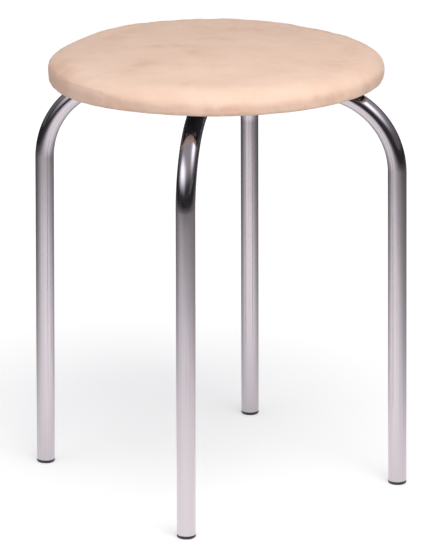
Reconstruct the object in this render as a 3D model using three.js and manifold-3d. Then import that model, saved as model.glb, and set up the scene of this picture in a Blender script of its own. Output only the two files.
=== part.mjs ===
// Four-legged stool: two chromed tube hoops cross under a round upholstered seat.
// Millimetres, +Z up. The origin is on the floor, on the stool's centre line.
// One hoop's legs stand left and right (along X), the other's stand front and back (along Y).

import * as THREE from "three";
import { mergeVertices } from "three/addons/utils/BufferGeometryUtils.js";
import Module from "manifold-3d";

// Overall sizes
const seatHeight = 450; // floor to the middle of the seat
const seatDiameter = 338; // over the cover
const footReach = 186; // centre line to the middle of a foot, on the floor
const legLean = 6; // how much farther out a foot stands than the top of its leg

// Gap left between faces that touch
const touchGap = 0.3;

// Hoop tube
const tubeDiameter = 19;
const tubeWall = 1.2;
const bendRadius = 83; // of the tube's centre line
const tubeSides = 20;
const bendSteps = 8;

// Crossing, where each hoop is pressed flat to half its height
const rampLength = 16; // from the round tube to the pressed tube
const pressClearance = 1.2; // from one hoop's pressed side to the other's ramp
const roundPower = 2; // power of the section's outline where it is round
const pressedPower = 4; // and where it is pressed: a higher power is flatter
const rampSteps = 4;
const weldRadius = 1.5;
const weldLength = 15;

// Foot plug
const flangeThickness = 3;
const flangeRounding = 1.6;
const spigotLength = 17;
const spigotWall = 2.8; // round the spigot's bore, between the ribs
const spigotFloor = 3; // from the flange's top face to the bottom of the bore
const spigotChamfer = 0.9;
const ribCount = 2;
const ribHeight = 0.9;
const ribPitch = 5;
const ribLand = 2.2; // height over which a rib slopes back to the core

// Seat cover
const coverThickness = 1.2;
const crownRise = 4.5; // dome of the whole seat
const shoulderDrop = 11.5; // height of the rounded shoulder
const shoulderReach = 24; // its width
const sideDrawIn = 1; // how far the side leans in towards the bottom
const coverMargin = 29; // width of the turned-under edge
const seatSides = 48;

// Foam pad and board
const foamThickness = 14.4; // at the middle
const foamSkirt = 3; // foam pulled down round the edge of the board
const boardThickness = 10;
const boardChamfer = 1;

// Dust cover under the seat
const dustThickness = 0.8;
const dustSetback = 8; // from the seat's rim to the dust cover's edge
const dustStep = 7; // width over which it dips below the cover's edge
const dustHoleRadius = 4.5;

// Screws, with the tee nuts that they turn into
const screwReach = 64; // centre line to a screw
const screwDiameter = 6;
const screwHoleDiameter = 6.8; // through the tube and the saddle washer
const screwTipSetback = 1.2; // from the top of the board
const screwTipChamfer = 0.8;
const headDiameter = 11;
const headHeight = 3.3;
const headFlat = 6; // diameter of the flat on the domed head
const socketAcrossFlats = 4;
const socketDepth = 2;
const nutFlangeDiameter = 19;
const nutFlangeThickness = 1.4;
const nutBarrelDiameter = 8.4;
const nutBarrelLength = 8;
const prongCount = 4;
const prongReach = 7.6; // centre of a prong from the nut's axis
const prongLength = 5;
const prongWidth = 2.6;
const prongThickness = 0.9;

// Saddle washers between the screw heads and the round tubes
const saddleDiameter = 15;
const saddleThickness = 1.8; // at its thinnest, under the tube
const saddleWrap = 4.5; // how far it reaches up beside the tube

// Resolution of small round pieces, and how far cutting tools run past what they cut
const smallSides = 16;
const cutOverrun = 2;
const mergeShare = 0.001; // of the touching gap: corners that lie nearer than this are one

// Radii and heights that follow from the sizes above, from the seat's top down
const tubeRadius = tubeDiameter / 2;
const seatRadius = seatDiameter / 2;
const foamInset = coverThickness + touchGap;
const rimRadius = foamInset + foamSkirt; // rounding where the cover turns under
const boardTop = seatHeight - foamInset - foamThickness - touchGap;
const boardBottom = boardTop - boardThickness;
const coverBottom = boardBottom - touchGap - coverThickness;
const dustTop = boardBottom - touchGap;
const tubeTop = dustTop - dustThickness - touchGap;
const runHeight = tubeTop - tubeRadius;
const tubeBottom = runHeight - tubeRadius;
const saddleBottom = tubeBottom - touchGap - saddleThickness;
const boardRadius = seatRadius - sideDrawIn - foamInset - foamSkirt - touchGap;
const legReach = footReach - legLean; // centre line to the middle of a leg, as high as the level tube
const splay = Math.atan(legLean / runHeight);

const chrome = material("chrome", 0xd9d9de, 0.08, 1);
const suede = material("suede", 0xe6c8ae, 0.95, 0);
const foam = material("foam", 0xe9dfb4, 1, 0);
const plywood = material("plywood", 0xc9a878, 0.75, 0);
const dustCloth = material("dust_cloth", 0x17171a, 0.95, 0);
const blackPlastic = material("black_plastic", 0x1b1b1f, 0.5, 0);
const zincSteel = material("zinc_steel", 0xb9bcc2, 0.35, 1);

const wasm = await Module();
wasm.setup();

function material(name, color, roughness, metalness) {
  return new THREE.MeshStandardMaterial({ name, color, roughness, metalness });
}

// Solids: a closed three.js geometry becomes a solid to cut or join, and a solid becomes a geometry.

function solidOf(geometry) {
  const bare = geometry.clone();
  bare.deleteAttribute("normal");
  bare.deleteAttribute("uv");
  const merged = mergeVertices(bare, touchGap * mergeShare);
  const corners = merged.index.array;
  const kept = [];
  for (let i = 0; i < corners.length; i += 3) {
    const [a, b, c] = [corners[i], corners[i + 1], corners[i + 2]];
    if (a !== b && b !== c && c !== a) kept.push(a, b, c);
  }
  const vertProperties = new Float32Array(merged.attributes.position.array);
  return new wasm.Manifold(new wasm.Mesh({ numProp: 3, vertProperties, triVerts: new Uint32Array(kept) }));
}

function geometryOf(solid) {
  const made = solid.getMesh();
  const geometry = new THREE.BufferGeometry();
  geometry.setAttribute("position", new THREE.BufferAttribute(new Float32Array(made.vertProperties), 3));
  geometry.setIndex(new THREE.BufferAttribute(new Uint32Array(made.triVerts), 1));
  geometry.computeVertexNormals();
  return geometry;
}

// Turns a closed outline of [radius, height] points about Z. It goes up on the outside.
function revolve(outline, sides) {
  const points = outline.map(([radius, height]) => new THREE.Vector2(radius, height));
  return solidOf(new THREE.LatheGeometry(points, sides).rotateX(Math.PI / 2));
}

// An upright cylinder between two heights, on the axis at x.
function post(radius, bottom, top, x = 0, sides = smallSides) {
  const geometry = new THREE.CylinderGeometry(radius, radius, top - bottom, sides);
  return solidOf(geometry.rotateX(Math.PI / 2).translate(x, 0, (top + bottom) / 2));
}

// The same cutting tool at each of the four places round the stool.
function atFourPlaces(tool) {
  const quarterTurn = 90;
  return wasm.Manifold.union([0, 1, 2, 3].map((turn) => tool.rotate([0, 0, turn * quarterTurn])));
}

// Hoop: one tube, up from a foot, over a bend, across under the seat and down again.

// How far the tube is pressed flat at x along the run: 1 at the crossing, 0 where it is round.
const pressedHeight = (tubeDiameter - touchGap) / 2;
const pressedWidth = pressedHeight + (Math.PI * (tubeDiameter - pressedHeight)) / 2;
const pressedHalfLength = pressedWidth / 2 + pressClearance;

function pressedAt(x) {
  const along = THREE.MathUtils.clamp((Math.abs(x) - pressedHalfLength) / rampLength, 0, 1);
  return 1 - along * along * (3 - 2 * along);
}

// Stations of the half hoop with x above 0, from the foot to the middle.
// Each has its place on the tube's centre line and the outward direction there, as an angle from +X.
function halfHoopStations() {
  const legUp = new THREE.Vector2(-Math.sin(splay), Math.cos(splay));
  const footOnFloor = new THREE.Vector2(footReach, 0);
  const corner = (Math.PI / 2 - splay) / 2;
  const runEnd = legReach - bendRadius * Math.tan(corner);
  const bendCentre = new THREE.Vector2(runEnd, runHeight - bendRadius);
  const tubeEnd = flangeThickness + touchGap;
  const stations = [{ at: footOnFloor.clone().addScaledVector(legUp, tubeEnd), outward: splay }];
  for (let step = 0; step <= bendSteps; step++) {
    const outward = splay + (2 * corner * step) / bendSteps;
    const spoke = new THREE.Vector2(Math.cos(outward), Math.sin(outward));
    stations.push({ at: bendCentre.clone().addScaledVector(spoke, bendRadius), outward });
  }
  for (let step = rampSteps; step >= 0; step--) {
    const x = pressedHalfLength + (rampLength * step) / rampSteps;
    stations.push({ at: new THREE.Vector2(x, runHeight), outward: Math.PI / 2 });
  }
  return stations;
}

function mirrored({ at, outward }) {
  return { at: new THREE.Vector2(-at.x, at.y), outward: Math.PI - outward };
}

// One ring of the tube's skin, inset by the wall for the bore. The section is a superellipse.
// side is -1 where the tube is pressed down to the lower half of its height, and 1 for the upper half.
function ringAt(station, inset, side) {
  const pressed = pressedAt(station.at.x);
  const halfWidth = THREE.MathUtils.lerp(tubeDiameter, pressedWidth, pressed) / 2 - inset;
  const halfHeight = THREE.MathUtils.lerp(tubeDiameter, pressedHeight, pressed) / 2 - inset;
  const power = roundPower / THREE.MathUtils.lerp(roundPower, pressedPower, pressed);
  const lift = (side * pressed * (tubeDiameter - pressedHeight)) / 2;
  const bulge = (value) => Math.sign(value) * Math.abs(value) ** power;
  const ring = [];
  for (let i = 0; i < tubeSides; i++) {
    const angle = ((i + 0.5) * 2 * Math.PI) / tubeSides;
    const out = lift + halfHeight * bulge(Math.cos(angle));
    const x = station.at.x + out * Math.cos(station.outward);
    const z = station.at.y + out * Math.sin(station.outward);
    ring.push(x, halfWidth * bulge(Math.sin(angle)), z);
  }
  return ring;
}

// Joins the rings of the skin and of the bore, and closes both ends with a flat ring.
function pipe(stations, wall, side) {
  const count = stations.length;
  const positions = stations.flatMap((station) => ringAt(station, 0, side));
  positions.push(...stations.flatMap((station) => ringAt(station, wall, side)));
  const index = [];
  const bore = count * tubeSides;
  const quad = (a, b, c, d) => index.push(a, b, c, a, c, d);
  for (let i = 0; i < tubeSides; i++) {
    const next = (i + 1) % tubeSides;
    for (let ring = 0; ring < count - 1; ring++) {
      const here = ring * tubeSides;
      const there = here + tubeSides;
      quad(here + i, here + next, there + next, there + i);
      quad(bore + here + next, bore + here + i, bore + there + i, bore + there + next);
    }
    const last = (count - 1) * tubeSides;
    quad(bore + i, bore + next, next, i);
    quad(last + i, last + next, bore + last + next, bore + last + i);
  }
  const geometry = new THREE.BufferGeometry();
  geometry.setAttribute("position", new THREE.BufferAttribute(new Float32Array(positions), 3));
  geometry.setIndex(index);
  return solidOf(geometry);
}

function hoop(side) {
  const half = halfHoopStations();
  const tube = pipe([...half, ...half.map(mirrored).reverse()], tubeWall, side);
  const drill = post(screwHoleDiameter / 2, runHeight - tubeDiameter, runHeight + tubeDiameter, screwReach);
  return geometryOf(tube.subtract(drill).subtract(drill.mirror([1, 0, 0])));
}

// Weld bead along one side of the upper hoop's pressed length, on top of the lower hoop.
function weldBead() {
  const x = pressedWidth / 2 + touchGap + weldRadius;
  const rampRise = (1 - pressedAt(x + weldRadius)) * (tubeDiameter - pressedHeight);
  const z = touchGap / 2 + rampRise + weldRadius;
  const capSteps = 3;
  const beadSides = 10;
  const straight = weldLength - 2 * weldRadius;
  const geometry = new THREE.CapsuleGeometry(weldRadius, straight, capSteps, beadSides);
  return geometryOf(solidOf(geometry.translate(x, 0, z)));
}

// Foot plug: a flange under the tube's end and a ribbed spigot pushed up inside it.
// It is made on the leg's axis, then leaned with the leg and trimmed level with the floor.
function footPlug() {
  const ribRadius = tubeRadius - tubeWall - touchGap;
  const coreRadius = ribRadius - ribHeight;
  const boreRadius = coreRadius - spigotWall;
  const top = flangeThickness + spigotLength;
  const outline = [
    [0, -cutOverrun],
    [tubeRadius - flangeRounding, -cutOverrun],
  ];
  const roundingSteps = 2;
  for (let step = 0; step <= roundingSteps; step++) {
    const angle = (Math.PI / 2) * (step / roundingSteps);
    const radius = tubeRadius - flangeRounding * (1 - Math.sin(angle));
    outline.push([radius, flangeRounding * (1 - Math.cos(angle))]);
  }
  outline.push([tubeRadius, flangeThickness], [coreRadius, flangeThickness]);
  for (let rib = 1; rib <= ribCount; rib++) {
    const edge = flangeThickness + rib * ribPitch;
    outline.push([coreRadius, edge], [ribRadius, edge], [coreRadius, edge + ribLand]);
  }
  outline.push([coreRadius, top - spigotChamfer], [coreRadius - spigotChamfer, top]);
  outline.push([boreRadius, top], [boreRadius, flangeThickness + spigotFloor]);
  outline.push([0, flangeThickness + spigotFloor]);
  const leaned = revolve(outline, tubeSides)
    .rotate([0, THREE.MathUtils.radToDeg(-splay), 0])
    .translate([footReach, 0, 0]);
  const floor = new THREE.BoxGeometry(tubeDiameter * 2, tubeDiameter * 2, tubeDiameter);
  return geometryOf(leaned.subtract(solidOf(floor.translate(footReach, 0, -tubeDiameter / 2))));
}

// Seat section: a shallow dome, a rounded shoulder and a side that leans in and turns under.
// inset moves the whole outline inwards. It runs from the middle of the top to the underside.
function seatOutline(inset) {
  const radius = seatRadius - inset;
  const drop = shoulderDrop - inset;
  const reach = shoulderReach - inset;
  const shoulderTop = radius - reach;
  const widest = seatHeight - crownRise - shoulderDrop;
  const dome = (r) => crownRise * (1 - (r / radius) ** 2);
  const points = [];
  const domeSteps = 3;
  for (let step = 0; step < domeSteps; step++) {
    const r = (shoulderTop * step) / domeSteps;
    points.push([r, widest + drop + dome(r)]);
  }
  const shoulderSteps = 5;
  for (let step = 0; step <= shoulderSteps; step++) {
    const angle = (Math.PI / 2) * (step / shoulderSteps);
    const r = shoulderTop + reach * Math.sin(angle);
    points.push([r, widest + drop * Math.cos(angle) + dome(r)]);
  }
  const rim = rimRadius - inset;
  const rimCentre = [seatRadius - sideDrawIn - rimRadius, coverBottom + rimRadius];
  const rimSteps = 3;
  for (let step = 0; step <= rimSteps; step++) {
    const angle = (Math.PI / 2) * (step / rimSteps);
    points.push([rimCentre[0] + rim * Math.cos(angle), rimCentre[1] - rim * Math.sin(angle)]);
  }
  return points;
}

function seatCover() {
  const marginRadius = seatRadius - coverMargin;
  const outside = seatOutline(0);
  const inside = seatOutline(coverThickness);
  const edge = [
    [marginRadius, coverBottom],
    [marginRadius, coverBottom + coverThickness],
  ];
  return geometryOf(revolve([...outside, ...edge, ...inside.reverse()].reverse(), seatSides));
}

function foamPad() {
  const outline = seatOutline(foamInset);
  outline.push([boardRadius + touchGap, boardTop + touchGap], [0, boardTop + touchGap]);
  return geometryOf(revolve(outline.reverse(), seatSides));
}

// Tee nut: a pronged flange, level with the top of the board, and a barrel down into it.
// With room it is the pocket that the board has for it.
function teeNutBlank(room) {
  const flangeBottom = boardTop - nutFlangeThickness;
  const flangeTop = room ? boardTop + cutOverrun : boardTop;
  const barrelBottom = flangeBottom - nutBarrelLength;
  const flange = post(nutFlangeDiameter / 2 + room, flangeBottom - room, flangeTop, screwReach);
  const barrel = post(nutBarrelDiameter / 2 + room, barrelBottom - room, boardTop, screwReach);
  let blank = flange.add(barrel);
  for (let prong = 0; prong < prongCount; prong++) {
    const length = prongLength + nutFlangeThickness / 2 + room;
    const bar = new THREE.BoxGeometry(prongThickness + 2 * room, prongWidth + 2 * room, length);
    bar.translate(prongReach, 0, boardTop - nutFlangeThickness / 2 - length / 2);
    bar.rotateZ(((prong + 0.5) * 2 * Math.PI) / prongCount).translate(screwReach, 0, 0);
    blank = blank.add(solidOf(bar));
  }
  return blank;
}

function teeNut() {
  const bore = post(screwDiameter / 2 + touchGap, boardBottom, boardTop + cutOverrun, screwReach);
  return geometryOf(teeNutBlank(0).subtract(bore));
}

function seatBoard() {
  const outline = [
    [0, boardBottom],
    [boardRadius - boardChamfer, boardBottom],
    [boardRadius, boardBottom + boardChamfer],
    [boardRadius, boardTop - boardChamfer],
    [boardRadius - boardChamfer, boardTop],
    [0, boardTop],
  ];
  const throughHole = post(nutBarrelDiameter / 2 + touchGap, boardBottom - cutOverrun, boardTop, screwReach);
  const pockets = atFourPlaces(teeNutBlank(touchGap).add(throughHole));
  return geometryOf(revolve(outline, seatSides).subtract(pockets));
}

// Dust cover: flat under the board, and dipping to lie under the turned-in edge of the seat cover.
function dustCover() {
  const lowTop = coverBottom - touchGap;
  const dipEnd = seatRadius - coverMargin - touchGap;
  const dipStart = dipEnd - dustStep;
  const edge = seatRadius - dustSetback;
  const outline = [
    [0, dustTop - dustThickness],
    [dipStart, dustTop - dustThickness],
    [dipEnd, lowTop - dustThickness],
    [edge, lowTop - dustThickness],
    [edge, lowTop],
    [dipEnd, lowTop],
    [dipStart, dustTop],
    [0, dustTop],
  ];
  const hole = post(dustHoleRadius, lowTop - dustThickness - cutOverrun, dustTop + cutOverrun, screwReach);
  return geometryOf(revolve(outline, seatSides).subtract(atFourPlaces(hole)));
}

// Saddle washer: round from below, with a hollow on top that the tube lies in.
function saddleWasher() {
  const blank = post(saddleDiameter / 2, saddleBottom, tubeBottom + saddleWrap, screwReach, tubeSides);
  const hollow = tubeRadius + touchGap;
  const tube = new THREE.CylinderGeometry(hollow, hollow, saddleDiameter * 2, tubeSides);
  tube.rotateY(Math.PI / tubeSides).rotateZ(Math.PI / 2).translate(screwReach, 0, runHeight);
  const hole = post(screwHoleDiameter / 2, saddleBottom - cutOverrun, runHeight, screwReach);
  return geometryOf(blank.subtract(solidOf(tube)).subtract(hole));
}

// Seat screw: domed head with a hexagon socket, below the saddle washer.
function seatScrew() {
  const headTop = saddleBottom - touchGap;
  const headBottom = headTop - headHeight;
  const shank = screwDiameter / 2;
  const tip = boardTop - screwTipSetback;
  const outline = [
    [0, headBottom],
    [headFlat / 2, headBottom],
  ];
  const domeSteps = 3;
  for (let step = 1; step <= domeSteps; step++) {
    const angle = (Math.PI / 2) * (step / domeSteps);
    const radius = THREE.MathUtils.lerp(headFlat / 2, headDiameter / 2, Math.sin(angle));
    outline.push([radius, headTop - headHeight * Math.cos(angle)]);
  }
  outline.push([shank, headTop], [shank, tip - screwTipChamfer], [shank - screwTipChamfer, tip], [0, tip]);
  const hexagonSides = 6;
  const socketRadius = socketAcrossFlats / 2 / Math.cos(Math.PI / hexagonSides);
  const socket = post(socketRadius, headBottom - cutOverrun, headBottom + socketDepth, 0, hexagonSides);
  return geometryOf(revolve(outline, smallSides).subtract(socket).translate([screwReach, 0, 0]));
}

function piece(name, geometry, finish) {
  const mesh = new THREE.Mesh(geometry, finish);
  mesh.name = name;
  return mesh;
}

function seat() {
  const group = new THREE.Group();
  group.add(piece("seat_cover", seatCover(), suede));
  group.add(piece("foam_pad", foamPad(), foam));
  group.add(piece("seat_board", seatBoard(), plywood));
  group.add(piece("dust_cover", dustCover(), dustCloth));
  return group;
}

function frame() {
  const group = new THREE.Group();
  const lowerHalf = -1;
  const upperHalf = 1;
  const upperHoop = piece("upper_leg_hoop", hoop(upperHalf), chrome);
  upperHoop.rotation.z = Math.PI / 2;
  group.add(piece("lower_leg_hoop", hoop(lowerHalf), chrome), upperHoop);
  const bead = weldBead();
  const welds = new THREE.Group();
  welds.position.z = runHeight;
  for (const [name, turn, flip] of [
    ["weld_bead_right", 0, 0],
    ["weld_bead_left", Math.PI, 0],
    ["weld_bead_back", Math.PI / 2, Math.PI],
    ["weld_bead_front", -Math.PI / 2, Math.PI],
  ]) {
    const weld = piece(name, bead, chrome);
    weld.rotation.set(flip, 0, turn, "ZXY");
    welds.add(weld);
  }
  group.add(welds);
  return group;
}

// What repeats at each leg, made at the right-hand one and turned about the centre line.
function legFittings() {
  const shapes = [
    ["foot_plug", footPlug(), blackPlastic],
    ["saddle_washer", saddleWasher(), blackPlastic],
    ["seat_screw", seatScrew(), zincSteel],
    ["tee_nut", teeNut(), zincSteel],
  ];
  const group = new THREE.Group();
  ["right", "back", "left", "front"].forEach((place, turn) => {
    const leg = new THREE.Group();
    leg.rotation.z = (turn * Math.PI) / 2;
    leg.add(...shapes.map(([name, geometry, finish]) => piece(`${name}_${place}`, geometry, finish)));
    group.add(leg);
  });
  return group;
}

const stool = new THREE.Group();
stool.add(seat(), frame(), legFittings());

export default stool;
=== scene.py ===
# %% [markdown]
# # A round padded stool on four chromed legs
# The stool is two bent steel tubes that cross under a round seat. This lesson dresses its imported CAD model.
# Each piece is worked out as a surface, put into a mesh and given a finish.

import bpy
import numpy as np
from mathutils import Euler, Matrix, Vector


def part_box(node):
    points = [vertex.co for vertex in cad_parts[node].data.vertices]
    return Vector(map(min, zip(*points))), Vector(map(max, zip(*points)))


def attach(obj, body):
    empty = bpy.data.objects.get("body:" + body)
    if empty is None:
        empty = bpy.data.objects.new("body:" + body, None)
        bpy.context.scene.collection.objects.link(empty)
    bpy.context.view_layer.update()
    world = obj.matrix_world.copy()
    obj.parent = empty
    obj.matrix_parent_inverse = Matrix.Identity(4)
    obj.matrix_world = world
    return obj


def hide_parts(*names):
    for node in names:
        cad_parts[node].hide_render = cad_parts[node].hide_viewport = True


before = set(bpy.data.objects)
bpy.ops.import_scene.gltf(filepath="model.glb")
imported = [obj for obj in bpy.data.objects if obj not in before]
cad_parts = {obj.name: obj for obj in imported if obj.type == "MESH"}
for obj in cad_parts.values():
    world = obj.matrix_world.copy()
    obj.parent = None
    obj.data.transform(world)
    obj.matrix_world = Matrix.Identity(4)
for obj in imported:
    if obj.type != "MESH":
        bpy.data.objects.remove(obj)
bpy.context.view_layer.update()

# %% [markdown]
# ## The camera
# The picture was taken from a little above the seat with a long lens, so the legs stay almost parallel.
# A camera can be placed by eye, or worked out from the edges of the four legs and the seat. Here the angles,
# the distance and the aim come from such a fit. The long side of the picture sets the lens.

# %% Camera
mm = 0.001
picture_height = 557
focal_pixels = 3159.97
camera_distance = 3231.04 * mm
camera_azimuth, camera_elevation = np.radians(10.385), np.radians(17.044)
camera_roll = np.radians(-0.16)
aim_height, aim_left = 210.14 * mm, 4.53 * mm


def direction(azimuth, elevation):
    """Unit vector from the stool: azimuth 0 is towards -Y and turns towards +X, elevation is above the floor.
    x = sin a cos e, y = -cos a cos e, z = sin e."""
    flat = np.cos(elevation)
    return np.array([np.sin(azimuth) * flat, -np.cos(azimuth) * flat, np.sin(elevation)])


towards_camera = direction(camera_azimuth, camera_elevation)
picture_right = np.array([np.cos(camera_azimuth), np.sin(camera_azimuth), 0])
aim = np.array([0, 0, aim_height]) - picture_right * aim_left
camera_data = bpy.data.cameras.new("camera")
camera_data.sensor_width = 36
camera_data.lens = focal_pixels * camera_data.sensor_width / picture_height
camera_data.clip_start, camera_data.clip_end = 0.1, 60
camera = bpy.data.objects.new("camera", camera_data)
bpy.context.collection.objects.link(camera)
turn = Vector(-towards_camera).to_track_quat("-Z", "Y") @ Euler((0, 0, camera_roll)).to_quaternion()
camera.rotation_euler = turn.to_euler()
camera.location = aim + towards_camera * camera_distance
bpy.context.scene.camera = camera
bpy.context.scene.view_settings.view_transform = "Standard"
print("lens in mm:", round(camera_data.lens, 2))

# %% [markdown]
# ## Small helpers for nodes
# Every finish is a tree of nodes. Building one by hand in code takes a line per node and one per link.
# One helper that makes a node, sets it up and links its inputs keeps a finish short enough to read.


# %% Node helpers
def add_node(tree, kind, values=None, **settings):
    """Adds one node. Settings are its properties. Values fill its sockets, by name or number, with a
    number, a colour or the output of another node, which gets linked."""
    made = tree.nodes.new(kind)
    for key, value in settings.items():
        setattr(made, key, value)
    for key, value in (values or {}).items():
        if isinstance(value, bpy.types.NodeSocket):
            tree.links.new(value, made.inputs[key])
        else:
            made.inputs[key].default_value = value
    return made


def mix_colours(tree, amount, first, second):
    """first x (1 - amount) + second x amount, for colours."""
    mix = add_node(tree, "ShaderNodeMix", data_type="RGBA")
    for place, value in ((0, amount), (6, first), (7, second)):
        if isinstance(value, bpy.types.NodeSocket):
            tree.links.new(value, mix.inputs[place])
        else:
            mix.inputs[place].default_value = value if place == 0 else (*value, 1)
    return mix.outputs[2]


def spread(tree, value, low, high, new_low=0, new_high=1):
    """Moves low..high to new_low..new_high along a smooth step, and holds the ends."""
    names = {"Value": value, "From Min": low, "From Max": high, "To Min": new_low, "To Max": new_high}
    return add_node(tree, "ShaderNodeMapRange", names, interpolation_type="SMOOTHSTEP").outputs[0]


def noise(tree, where, scale, detail=2, roughness=0.5, stretch=(1, 1, 1)):
    """Soft noise from 0 to 1, about 1/scale metres from one patch to the next."""
    placed = add_node(tree, "ShaderNodeMapping", {"Vector": where, "Scale": stretch})
    values = {"Vector": placed.outputs[0], "Scale": scale, "Detail": detail, "Roughness": roughness}
    return add_node(tree, "ShaderNodeTexNoise", values).outputs["Fac"]


def bumped(tree, height, distance, strength=1, below=None):
    """A normal that leans as if the surface rose by height x distance metres."""
    values = {"Height": height, "Distance": distance, "Strength": strength}
    if below is not None:
        values["Normal"] = below
    return add_node(tree, "ShaderNodeBump", values).outputs[0]


def new_material(name):
    """An empty material with an output, and the object coordinates that most finishes read."""
    material = bpy.data.materials.new(name)
    material.use_nodes = True
    tree = material.node_tree
    tree.nodes.clear()
    output = add_node(tree, "ShaderNodeOutputMaterial")
    where = add_node(tree, "ShaderNodeTexCoord").outputs["Object"]
    return material, tree, output, where


def finish_surface(tree, output, values):
    """Adds the principled shader with these values and joins it to the output."""
    shader = add_node(tree, "ShaderNodeBsdfPrincipled", values)
    tree.links.new(shader.outputs[0], output.inputs["Surface"])
    return shader


print("helpers ready")

# %% [markdown]
# ## The studio
# Chrome has no colour of its own: it shows the room. The picture's legs are pale where they reflect a
# lit white floor and nearly black where they reflect the unlit room past it. So the room here has a white
# floor, soft lamps at the camera's side, and a black card that hides the rest of the room in the chrome.
# A white floor in a studio is brighter than a picture can show. The camera's rays and the reflections
# therefore get their own glow: the first keeps the floor just white, the second gives the legs its full light.

# %% Floor
lit_part = 0.75
glow_near, glow_far = 0.42, 0.72
reflected_near, reflected_far = 0.78, 0.48


def flat_sheet(name, half, height):
    """A square of side 2 x half at one height."""
    mesh = bpy.data.meshes.new(name)
    corners = [(-half, -half, height), (half, -half, height), (half, half, height), (-half, half, height)]
    mesh.from_pydata(corners, [], [(0, 1, 2, 3)])
    made = bpy.data.objects.new(name, mesh)
    bpy.context.collection.objects.link(made)
    return made


paper, tree, output, where = new_material("white_paper")
rays = add_node(tree, "ShaderNodeLightPath").outputs
mirrored = {0: rays["Is Glossy Ray"], 1: rays["Is Transmission Ray"]}
mirrored = add_node(tree, "ShaderNodeMath", mirrored, operation="MAXIMUM").outputs[0]
away = add_node(tree, "ShaderNodeVectorMath", {0: where}, operation="LENGTH").outputs["Value"]
glow = {0: rays["Is Camera Ray"], 1: spread(tree, away, 0, 1.2, glow_near, glow_far)}
glow = add_node(tree, "ShaderNodeMath", glow, operation="MULTIPLY").outputs[0]
strength = {0: mirrored, 1: spread(tree, away, 0, 0.7, reflected_near, reflected_far), 2: glow}
strength = add_node(tree, "ShaderNodeMath", strength, operation="MULTIPLY_ADD")
dull = add_node(tree, "ShaderNodeBsdfDiffuse", {"Color": (lit_part, lit_part, lit_part, 1)})
white = add_node(tree, "ShaderNodeEmission", {"Strength": strength.outputs[0]})
both = add_node(tree, "ShaderNodeAddShader", {0: dull.outputs[0], 1: white.outputs[0]})
clear = add_node(tree, "ShaderNodeBsdfTransparent")
below = add_node(tree, "ShaderNodeNewGeometry").outputs["Backfacing"]
sided = add_node(tree, "ShaderNodeMixShader", {0: below, 1: both.outputs[0], 2: clear.outputs[0]})
tree.links.new(sided.outputs[0], output.inputs["Surface"])
floor = flat_sheet("floor", 30, 0)
floor.data.materials.append(paper)
print("floor glow:", glow_near, "to", glow_far, "seen and", reflected_near, "to", reflected_far, "reflected")

# %% [markdown]
# ## Black card
# The lamps light a pool of floor about a metre wide, and past it the floor fades to black in the legs'
# reflections. A black card just over the floor, whose cover grows with distance, does that, and its rim
# stands up to hide the horizon. The pool is oval, so the card measures distance in a squeezed space. The
# camera, the shadows and the soft light don't see it.

# %% Cards
card_sides = 96
pool_centre = (-0.062, -0.426, 0)
pool_turn, pool_squeeze, pool_end = np.radians(-52.6), 0.836, 3.2
pool_stops = [(0, 0), (0.3, 0.07), (0.45, 0.13), (0.6, 0.2), (0.8, 0.39), (1.0, 0.56), (1.2, 0.68)]
pool_stops += [(1.4, 0.75), (1.6, 0.84), (1.9, 0.87), (2.3, 0.92), (3.0, 0.94)]


def black_cards():
    """A dish round the pool: flat from 20 mm to 3.1 m, then a wall. Rows of (x0 + r cos a, y0 + r sin a, z)."""
    radius = np.array([0.02, 0.3, 0.7, 1.1, 1.6, 2.1, 2.6, 3.1, 3.15, 3.2])
    height = np.array([2, 2, 2, 2, 2, 2, 2, 2, 300, 600]) * mm
    angle = np.linspace(0, 2 * np.pi, card_sides, endpoint=False)
    x, y = pool_centre[0] + radius[:, None] * np.cos(angle), pool_centre[1] + radius[:, None] * np.sin(angle)
    points = np.stack([x, y, np.broadcast_to(height[:, None], x.shape)], axis=-1).reshape(-1, 3)
    row, column = np.meshgrid(np.arange(len(radius) - 1), np.arange(card_sides), indexing="ij")
    start, beside = row * card_sides + column, row * card_sides + (column + 1) % card_sides
    faces = np.stack([start, beside, beside + card_sides, start + card_sides], axis=-1).reshape(-1, 4)
    mesh = bpy.data.meshes.new("black_cards")
    mesh.from_pydata(points.tolist(), [], faces.tolist())
    made = bpy.data.objects.new("black_cards", mesh)
    bpy.context.collection.objects.link(made)
    for kind in ("camera", "diffuse", "transmission", "shadow", "volume_scatter"):
        setattr(made, "visible_" + kind, False)
    return made


cards = black_cards()
card_black, tree, output, where = new_material("card_black")
squeeze = {"Vector": where, "Location": pool_centre, "Rotation": (0, 0, pool_turn)}
squeeze["Scale"] = (pool_squeeze * pool_end, pool_end, pool_end)
squashed = add_node(tree, "ShaderNodeMapping", squeeze, vector_type="TEXTURE").outputs[0]
reach = add_node(tree, "ShaderNodeVectorMath", {0: squashed}, operation="LENGTH").outputs["Value"]
cover = add_node(tree, "ShaderNodeValToRGB", {"Fac": reach})
while len(cover.color_ramp.elements) < len(pool_stops) + 1:
    cover.color_ramp.elements.new(0.5)
for stop, (place, shade) in zip(cover.color_ramp.elements, [*pool_stops, (pool_end, 1)]):
    stop.position, stop.color = place / pool_end, (shade, shade, shade, 1)
black = add_node(tree, "ShaderNodeEmission", {"Color": (0.035, 0.033, 0.038, 1)})
clear = add_node(tree, "ShaderNodeBsdfTransparent")
faded = add_node(tree, "ShaderNodeMixShader", {0: cover.outputs[0], 1: clear.outputs[0], 2: black.outputs[0]})
tree.links.new(faded.outputs[0], output.inputs["Surface"])
cards.data.materials.append(card_black)
print("cards:", len(cards.data.polygons), "faces")

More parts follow.
